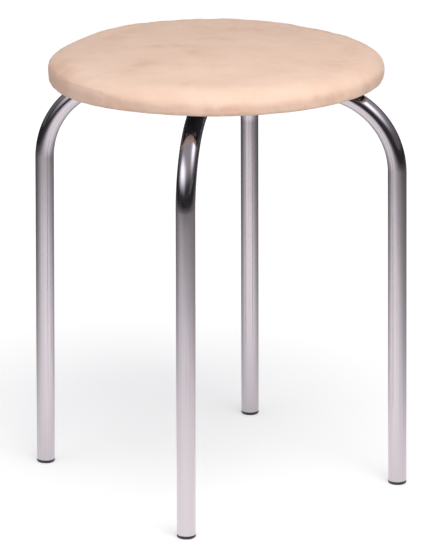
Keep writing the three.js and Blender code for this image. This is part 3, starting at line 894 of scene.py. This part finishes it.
# %% Cover rows
across_disc = 70
disc_share = 0.69
rim_start_share = (profile_length - cover_margin - np.pi / 2 * rim_radius) / profile_length
rim_end_share = rim_start_share + 9 * mm / profile_length
skirt_shares = [disc_share, 0.712, 0.748, rim_start_share, rim_end_share, 1]
skirt_shares = np.interp(np.arange(26), [0, 3, 10, 13, 19, 25], skirt_shares)
skirt_rows = len(skirt_shares)
staple_count = 36
staple_number = np.arange(staple_count)
staple_angle = 2 * np.pi * (staple_number + 0.12 * np.sin(staple_number * 2.3)) / staple_count
columns = 4 * across_disc
round_angle = -np.arange(columns) * 2 * np.pi / columns + np.pi / 4
rim_shares = [round(float(at_share), 3) for at_share in (rim_start_share, rim_end_share)]
print("cover: rim between shares", rim_shares, "with", columns, "columns round it")

# %% Uneven cushion
# Directions are in degrees as the camera sees them: -90 is the left, 0 the front and 90 the right.
thicker_back, left_climb, left_hang = 2.3 * mm, 2.6 * mm, 2.2 * mm


def crease_share(angle):
    """How creased the fold is in each direction: 1 from the left to the front, little elsewhere."""
    inside = between(seen_degrees(angle), -80, 28, 34, 40)
    return np.clip(0.15 + 0.85 * inside + wander(angle, [9, 13, 19, 27], 0.05, 5), 0, 1)


def uneven(angle, r, z):
    """Height added to the even profile. Each part is a size times smooth steps of angle, r and z, but for the
    climb, which follows a bell exp(-((z - middle) / 4 mm)^2) in z. The pad is thicker at the back, and at the
    left the fold climbs and the rim hangs lower."""
    seen = seen_degrees(angle)
    back = thicker_back * between(seen % 360 - 180, -46, 44, 66, 30)
    back = back * smooth_step((r - 80 * mm) / (60 * mm)) * smooth_step((z - widest) / shoulder_drop)
    climb = left_climb * between(seen, -110, 30, -30, 14) * smooth_step((r - 155 * mm) / (12 * mm))
    climb = climb * np.exp(-(((z - widest - 1.5 * mm) / (4 * mm)) ** 2))
    hang = left_hang * between(seen, -150, 40, -14, 50) * smooth_step((r - 150 * mm) / (12 * mm))
    hang = hang * smooth_step((widest - 3 * mm - z) / (7 * mm))
    return back + climb - hang


def cushion_surface(share, angle):
    """Point of the cover at a share of the profile and an angle: both profiles mixed, then made uneven."""
    at = np.clip(share, 0, 1) * (profile_points - 1)
    steps = np.arange(profile_points)
    crease = crease_share(angle)
    r = np.interp(at, steps, rounded[:, 0]) * (1 - crease) + np.interp(at, steps, creased[:, 0]) * crease
    z = np.interp(at, steps, rounded[:, 1]) * (1 - crease) + np.interp(at, steps, creased[:, 1]) * crease
    return r, z + uneven(angle, r, z)


rim_start = cushion_surface(np.array([rim_start_share]), np.array([0.0]))[1][0]
print("the rim starts at", round(float(rim_start) / mm, 1), "mm on the right")


# %% Cover grid
def cover_grid():
    """Points, quads and profile shares of the whole cover, its top as a pressed square and its side as rows."""
    line = np.linspace(-1, 1, across_disc + 1)
    a, b = np.meshgrid(line, line)
    reach = np.maximum(np.abs(a), np.abs(b))
    wide = np.abs(a) >= np.abs(b)
    large, small = np.where(wide, a, b), np.where(wide, b, a)
    bend = np.pi / 4 * np.divide(small, large, out=np.zeros_like(small), where=large != 0)
    disc_angle = np.where(wide, bend, np.pi / 2 - bend) + np.where(large < 0, np.pi, 0)
    share = np.concatenate([(reach * disc_share).ravel(), np.repeat(skirt_shares, columns)])
    angle = np.concatenate([disc_angle.ravel(), np.tile(round_angle, skirt_rows)])
    r, z = cushion_surface(share, angle)
    points = np.stack([r * np.cos(angle), r * np.sin(angle), z], axis=-1)
    faces = grid_faces(across_disc + 1, across_disc + 1, False, False)
    more = grid_faces(skirt_rows, columns, False, True, first=reach.size)
    return points, np.concatenate([faces, more]), share


points, faces, share = cover_grid()
cover_kept, cover_number = merged_places(points + cushion_shift)
seat_cover = mesh_object("seat_cover_cloth", points + cushion_shift, faces, closed=False)
print("cover:", len(seat_cover.data.vertices), "points")

# %% [markdown]
# ## Pulling the cover tight
# Upholstery gets its look from cloth under tension: it is held by staples below and pushed out by foam. The
# cloth solver does the same: the margin is held and a pressure inside swells the cover for 20 frames. The
# profile already has the pad's swell, so the mean movement of each ring of points is taken off again, and
# what stays is the play of the cloth between the staples, the fold and the uneven pad.


# %% Cloth
cloth_frames = 20


def positions(mesh):
    """All points of a mesh as an array."""
    found = np.empty(len(mesh.vertices) * 3, np.float32)
    mesh.vertices.foreach_get("co", found)
    return found.reshape(-1, 3).astype(float)


def put_positions(made, points):
    """Moves all points of an object's mesh to the rows of an array."""
    made.data.vertices.foreach_set("co", points.astype(np.float32).ravel())
    made.data.update()


def staple_pull(points, size):
    """Draws the rim in at each staple: size exp(-(distance along the rim / 5 mm)^2), most at the lower edge,
    and times a strength from 0.2 to 1 that differs from staple to staple."""
    x, y, z = (points - cushion_shift).T
    angle = np.arctan2(y, x)
    gap = (angle[:, None] - staple_angle + np.pi) % (2 * np.pi) - np.pi
    strength = 0.6 + 0.4 * np.sin(np.arange(staple_count) * 1.7 + 1)
    pull = (np.exp(-((gap * seat_radius / (5 * mm)) ** 2)) * strength).sum(axis=1)
    radius = np.hypot(x, y)
    low = smooth_step((widest + 1 * mm - z) / (10 * mm)) * smooth_step((radius - 0.95 * seat_radius) / (4 * mm))
    drawn = size * pull * low
    return points - np.stack([x / radius.clip(1e-6) * drawn, y / radius.clip(1e-6) * drawn, 0 * z], axis=-1)


def pulled_tight(made, held, ring, pressure, most):
    """Runs the cloth solver and takes each ring's mean off the movement. What is left, d, is added with a
    length of most x tanh(|d| / most)."""
    start = positions(made.data)
    group = made.vertex_groups.new(name="held")
    group.add(np.flatnonzero(held).tolist(), 1, "REPLACE")
    cloth = made.modifiers.new("cloth", "CLOTH")
    cloth.settings.quality = 5
    cloth.settings.mass = 0.15
    cloth.settings.vertex_group_mass = group.name
    cloth.settings.use_pressure = True
    cloth.settings.uniform_pressure_force = pressure
    cloth.settings.effector_weights.gravity = 0
    cloth.collision_settings.use_collision = False
    cloth.point_cache.frame_start, cloth.point_cache.frame_end = 1, cloth_frames
    for number in range(1, cloth_frames + 1):
        bpy.context.scene.frame_set(number)
    evaluated = made.evaluated_get(bpy.context.evaluated_depsgraph_get())
    moved = positions(evaluated.data) - start
    made.modifiers.remove(cloth)
    made.vertex_groups.remove(group)
    bpy.context.scene.frame_set(1)
    x, y = (start - cushion_shift)[:, :2].T
    radius = np.hypot(x, y).clip(1e-9)
    outward, beside = (moved[:, 0] * x + moved[:, 1] * y) / radius, (moved[:, 1] * x - moved[:, 0] * y) / radius
    count = np.bincount(ring)
    outward = outward - (np.bincount(ring, outward) / count)[ring]
    upward = moved[:, 2] - (np.bincount(ring, moved[:, 2]) / count)[ring]
    left = np.stack([(outward * x - beside * y) / radius, (outward * y + beside * x) / radius, upward], axis=-1)
    size = np.linalg.norm(left, axis=1, keepdims=True).clip(1e-9)
    put_positions(made, start + left * most * np.tanh(size / most) / size)
    print("cloth moved up to", round(np.abs(moved).max() / mm, 1), "mm")
    print("its uneven part is up to", round(size.max() / mm, 1), "mm before the cap")


print("the cloth runs for", cloth_frames, "frames")

# %% Tight cover
# The rings of the cover are the points with one share of the profile. The margin is held.
points = staple_pull(positions(seat_cover.data), 0.6 * mm)
put_positions(seat_cover, points)
radius = np.hypot(*(points - cushion_shift).T[:2])
under = (points[:, 2] < cover_bottom + 0.6 * mm) & (radius < seat_radius - 11 * mm)
ring = np.unique(np.round(share[cover_kept] * 5000), return_inverse=True)[1].reshape(-1)
pulled_tight(seat_cover, under, ring, pressure=1, most=0.28 * mm)

# %% [markdown]
# ## Foam pad
# The foam is a disc with a skirt that comes down round the board. It is hidden, but it is soft, so it is
# made as a form of its own. It fills the cover, so its skin is the pulled cover's own points, moved in
# along their normals by the cloth's thickness and a little more, and a hollow for the board closes it below.

# %% Foam
foam_inset, more_on_top = cloth_thickness + touch_gap, 0.8 * mm
board_radius, board_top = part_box("seat_board")[1].x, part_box("seat_board")[1].z
side_share = (profile_length - cover_margin - np.pi / 2 * rim_radius + rim_radius) / profile_length


def foam_surface():
    """The cover's points moved in along their normals, down to the end of the side, then rings round the
    board's room. The move is inset + more x step(z), because the cover's own smoothing draws in its fold."""
    normals = np.empty(len(seat_cover.data.vertices) * 3, np.float32)
    seat_cover.data.vertices.foreach_get("normal", normals)
    cover = positions(seat_cover.data)
    inset = foam_inset + more_on_top * smooth_step((cover[:, 2:] - widest + 3 * mm) / (5 * mm))
    skin = (cover - normals.reshape(-1, 3) * inset)[cover_number]
    disc = (across_disc + 1) ** 2
    rows = int(np.searchsorted(skirt_shares, side_share))
    skin = skin[: disc + rows * columns]
    low = skin[-columns:, 2].mean()
    wall = min(board_radius + touch_gap, np.hypot(*skin[-columns:, :2].T).min() - touch_gap)
    rings = revolved([(wall, low), (wall, board_top + touch_gap), (0, board_top + touch_gap)], columns)
    # The cover's columns start at 45 degrees and run the other way round.
    rings = np.roll(rings[:, ::-1], columns // 8 + 1, axis=1)
    faces = grid_faces(across_disc + 1, across_disc + 1, False, False)
    below = grid_faces(rows + 3, columns, False, True, first=disc)
    return np.concatenate([skin, rings.reshape(-1, 3)]), np.concatenate([faces, below])


foam_pad = mesh_object("foam_pad_form", *foam_surface())

foam, tree, output, where = new_material("open_cell_foam")
cells = add_node(tree, "ShaderNodeTexVoronoi", {"Vector": where, "Scale": 900}).outputs["Distance"]
aged = noise(tree, where, 14, detail=3)
colour = mix_colours(tree, spread(tree, aged, 0.3, 0.7), (0.82, 0.73, 0.46), (0.74, 0.62, 0.33))
colour = mix_colours(tree, spread(tree, cells, 0, 0.5, 0.35, 0), colour, (0.5, 0.4, 0.2))
values = {"Base Color": colour, "Roughness": spread(tree, cells, 0, 0.6, 0.95, 0.8)}
values["Normal"] = bumped(tree, cells, 0.0006)
finish_surface(tree, output, values)
finish_piece(foam_pad, foam, "foam", "foam_pad", sharp=60)

# %% [markdown]
# ## Suede-like cloth
# The cloth has a very short nap. Where a hand has brushed it the other way it turns a little darker or
# lighter, so the seat shows soft smudges that run across the top. They follow the cloth, not the room, so
# each point of the mesh gets a number for how far its nap is turned. The same number also carries painted
# shade: the side below the fold is painted darker, and more so at ten places round it. Large and small
# noise in the finish break it up, a bump gives the nap its grain, and sheen lights up the edges that are
# seen at a slant.

# %% Turned nap and painted side shade
# Each smudge has x, y, length and width in millimetres, its turn in radians and its size.
smudges = [
    (-54, 7, 16, 7, 0.18, 0.6),
    (-17, -10, 11, 15, 0.18, 0.65),
    (-60, -74, 12, 22, 0.1, 0.6),
    (-5, -139, 5, 6, 0, 0.5),
    (92, -37, 6, 9, 0, 0.5),
    (-151, -76, 36, 14, 2.06, 1.1),
    (-9, -94, 36, 22, 0.18, -0.4),
    (-106, -100, 26, 20, 2.33, -0.35),
    (37, 109, 80, 26, 0.18, 0.25),
    (132, 27, 28, 12, 1.77, 0.35),
    (-109, 51, 36, 12, 1.13, 0.35),
    (95, -95, 40, 18, 0.8, -0.3),
    (131, -37, 24, 14, 1.3, 0.3),
    (-3, 49, 30, 8, 0.2, 0.35),
]


def smudges_and_side_shade(points):
    """Sum of soft ovals: size exp(-(u / length)^2 - (v / width)^2), each turned by its own angle and ragged
    by up to a quarter. It adds painted shade on the side below the fold, 0.37 + 0.25 cos(10 x angle), which
    darkens the whole side and darkens it more at ten places round it."""
    x, y = (points - cushion_shift)[:, 0] / mm, (points - cushion_shift)[:, 1] / mm
    # Painted shade: the side below the fold is made darker, and more so at ten places round it.
    painted_side_shade = 0.37 + 0.25 * np.cos(np.radians(10 * seen_degrees(np.arctan2(y, x))))
    total = painted_side_shade * smooth_step((widest + 4 * mm - points[:, 2]) / (5 * mm))
    for at_x, at_y, length, width, turn_by, size in smudges:
        u = (x - at_x) * np.cos(turn_by) + (y - at_y) * np.sin(turn_by)
        v = (y - at_y) * np.cos(turn_by) - (x - at_x) * np.sin(turn_by)
        ragged = 1 + 0.25 * np.sin(u / 9 + at_x) * np.cos(v / 6 + at_y)
        total += size * np.exp(-((u / length) ** 2) - (v / width) ** 2) * ragged
    return total


# This number holds the nap's smudges and the painted shade of the side.
layer = seat_cover.data.attributes.new("nap_and_side_shade", "FLOAT", "POINT")
layer.data.foreach_set("value", smudges_and_side_shade(positions(seat_cover.data)).astype(np.float32))
print("smudges:", len(smudges))

# %% Suede finish
suede, tree, output, where = new_material("suede_like_cloth")
nap_and_side_shade = add_node(tree, "ShaderNodeAttribute", attribute_name="nap_and_side_shade").outputs["Fac"]
wide_patches = noise(tree, where, 24, detail=5, roughness=0.6, stretch=(1, 1.5, 1))
small_patches = noise(tree, where, 80, detail=4, roughness=0.6)
broken = spread(tree, noise(tree, where, 55, detail=3), 0.35, 0.65, 0.3, 1.5)
nap_and_side_shade = add_node(tree, "ShaderNodeMath", {0: nap_and_side_shade, 1: broken}, operation="MULTIPLY").outputs[0]
grain = noise(tree, where, 1300, detail=3, roughness=0.7)
nap_tone_and_side_shade = {0: wide_patches, 1: 0.9, 2: nap_and_side_shade}
nap_tone_and_side_shade = add_node(tree, "ShaderNodeMath", nap_tone_and_side_shade, operation="MULTIPLY_ADD").outputs[0]
nap_tone_and_side_shade = {0: small_patches, 1: 0.35, 2: nap_tone_and_side_shade}
nap_tone_and_side_shade = add_node(tree, "ShaderNodeMath", nap_tone_and_side_shade, operation="MULTIPLY_ADD").outputs[0]
# The smudges, the noise patches and the painted shade of the side all darken the cloth here.
darker = spread(tree, nap_tone_and_side_shade, 0.2, 1.35)
colour = mix_colours(tree, darker, (0.845, 0.625, 0.5), (0.73, 0.485, 0.365))
colour = mix_colours(tree, spread(tree, grain, 0.35, 0.7, 0.12, 0), colour, (0.6, 0.41, 0.3))
fine_bump = bumped(tree, grain, 0.00025)
values = {"Base Color": colour, "Roughness": spread(tree, small_patches, 0.3, 0.7, 0.86, 0.96)}
values["Normal"] = bumped(tree, small_patches, 0.0006, below=fine_bump)
shader = finish_surface(tree, output, values)
shader.inputs["Specular IOR Level"].default_value = 0.2
shader.inputs["Sheen Weight"].default_value = 0.22
shader.inputs["Sheen Roughness"].default_value = 0.45
shader.inputs["Sheen Tint"].default_value = (1, 0.86, 0.78, 1)
print("suede nodes:", len(tree.nodes))

# %% [markdown]
# The solver's mesh is then smoothed once by subdivision, and Solidify gives the cloth its thickness on the
# inside. Both stay as live modifiers, with the same level for the view and the render.

# %% Cover finish
smooth = seat_cover.modifiers.new("smooth", "SUBSURF")
smooth.levels = smooth.render_levels = 1
thick = seat_cover.modifiers.new("cloth_thickness", "SOLIDIFY")
thick.thickness, thick.offset = cloth_thickness, -1
finish_piece(seat_cover, suede, "suede", "seat_cover", sharp=60)

# %% [markdown]
# ## Dust cover
# A black non-woven cloth closes the underside. It is held flat between the tubes and the board, is stapled
# along its edge over the cover's margin, and sags a little in between. It is a disc of rings whose height
# changes: a step down to the margin, a sag that is nought over the tubes, and small pulls at the staples.

# %% Dust cover
dust_radius, dust_thickness = 158.5 * mm, 0.5 * mm
dust_staples = 24


def dust_sheet(rows, columns):
    """Underside of the cloth: z = level - sag - ripple. The level steps from the board to the margin, the sag
    is nought over the tubes, and the ripple, size (1 - cos(n a)), is nought at each of the n staples."""
    radius = np.linspace(0, dust_radius, rows)[:, None]
    angle = np.linspace(0, 2 * np.pi, columns, endpoint=False)[None]
    x, y = radius * np.cos(angle), radius * np.sin(angle)
    inner, outer = run_height + tube_radius + touch_gap, cover_bottom - 0.7 * mm
    level = inner + (outer - inner) * smooth_step((radius - 129 * mm) / (8 * mm))
    off_tubes = smooth_step((np.minimum(np.abs(x), np.abs(y)) - 12 * mm) / (28 * mm))
    free = off_tubes * smooth_step((128 * mm - radius) / (50 * mm))
    sag = free * (1.6 * mm + wander(angle, [4, 6, 9], 0.35 * mm, 11) + 0.3 * mm * np.sin(x / 0.021 + y / 0.034))
    ripple = 0.15 * mm * (1 - np.cos(dust_staples * angle)) * smooth_step((radius - 142 * mm) / (14 * mm))
    return np.stack([x, y, level - sag - ripple], axis=-1)


points = dust_sheet(56, 192)
faces = grid_faces(56, 192, False, True)
dust_cover = mesh_object("dust_cover_cloth", points.reshape(-1, 3), faces[:, ::-1], closed=False)
thick = dust_cover.modifiers.new("cloth_thickness", "SOLIDIFY")
thick.thickness, thick.offset = dust_thickness, 1

dust_cloth, tree, output, where = new_material("black_non_woven_cloth")
fibres = noise(tree, where, 420, detail=6, roughness=0.75, stretch=(1, 3, 1))
crossed = noise(tree, where, 420, detail=6, roughness=0.75, stretch=(3, 1, 1))
web = add_node(tree, "ShaderNodeMath", {0: fibres, 1: crossed}, operation="MAXIMUM").outputs[0]
dust = noise(tree, where, 18, detail=5)
colour = mix_colours(tree, spread(tree, web, 0.45, 0.75), (0.008, 0.008, 0.009), (0.035, 0.035, 0.038))
colour = mix_colours(tree, spread(tree, dust, 0.5, 0.8, 0, 0.12), colour, (0.12, 0.11, 0.1))
values = {"Base Color": colour, "Roughness": spread(tree, web, 0.4, 0.7, 0.95, 0.8)}
values["Normal"] = bumped(tree, web, 0.0004)
finish_surface(tree, output, values)
finish_piece(dust_cover, dust_cloth, "dust_cloth", "dust_cover", sharp=60)

# %% [markdown]
# ## Staples
# Two rings of staples hold the cloths: one under the margin of the seat cover, one along the dust cover's
# edge. A staple is a flat wire bent twice. One is swept along its short path and copied by turning it, each
# a little askew, because they are shot by hand.


# %% Staples
def staple(width=10, rise=3, wire=0.9, thickness=0.5):
    """A wire with a crown along Y and two legs up, as rows of four corners: the section follows the bend.
    Its sizes are in millimetres."""
    half, corner = width / 2, 0.5
    left = np.array([(-half, rise), (-half, corner), (-half + 0.3 * corner, 0.3 * corner), (-half + corner, 0)])
    path = np.concatenate([left, left[::-1] * (-1, 1)])
    run = np.gradient(path, axis=0)
    run /= np.linalg.norm(run, axis=1, keepdims=True)
    square = np.stack([-run[:, 1], run[:, 0]], axis=-1)
    corners = [(-wire / 2, 0), (wire / 2, 0), (wire / 2, thickness), (-wire / 2, thickness)]
    rows = [np.column_stack([np.full(len(path), x), path + square * up]) for x, up in corners]
    rows = np.stack(rows, axis=1)
    ends = [np.broadcast_to(rows[i].mean(axis=0), (1, 4, 3)) for i in (0, -1)]
    return np.concatenate([ends[0], rows, ends[1]]) * mm


def staple_ring(name, radius, angles, height, askew):
    """For each angle a staple, turned a little askew, moved out to the ring and turned round the seat."""
    one = staple()
    turn_by = angles + askew * np.sin(np.arange(len(angles)) * 4.1)
    x, y, z = (one[..., i].ravel() for i in range(3))
    across, beside = np.cos(turn_by)[:, None], np.sin(turn_by)[:, None]
    out = radius + 0.6 * mm * np.sin(np.arange(len(angles)) * 2.7)
    px = out[:, None] * np.cos(angles)[:, None] + x * across - y * beside
    py = out[:, None] * np.sin(angles)[:, None] + x * beside + y * across
    points = np.stack([px, py, np.broadcast_to(z + height, px.shape)], axis=-1).reshape(-1, 3)
    rows, size = one.shape[0], x.size
    faces = np.concatenate([grid_faces(rows, 4, False, True, first=i * size) for i in range(len(angles))])
    made = mesh_object(name, points, faces)
    return finish_piece(made, zinc, "zinc_steel", sharp=30)


ring_angle = 2 * np.pi * (np.arange(dust_staples) + 0.5) / dust_staples
staple_ring("cover_staples", 149 * mm, staple_angle, cover_bottom - 0.18 * mm, 0.12)
staple_ring("dust_cover_staples", 153.5 * mm, ring_angle, cover_bottom - 1.7 * mm, 0.15)
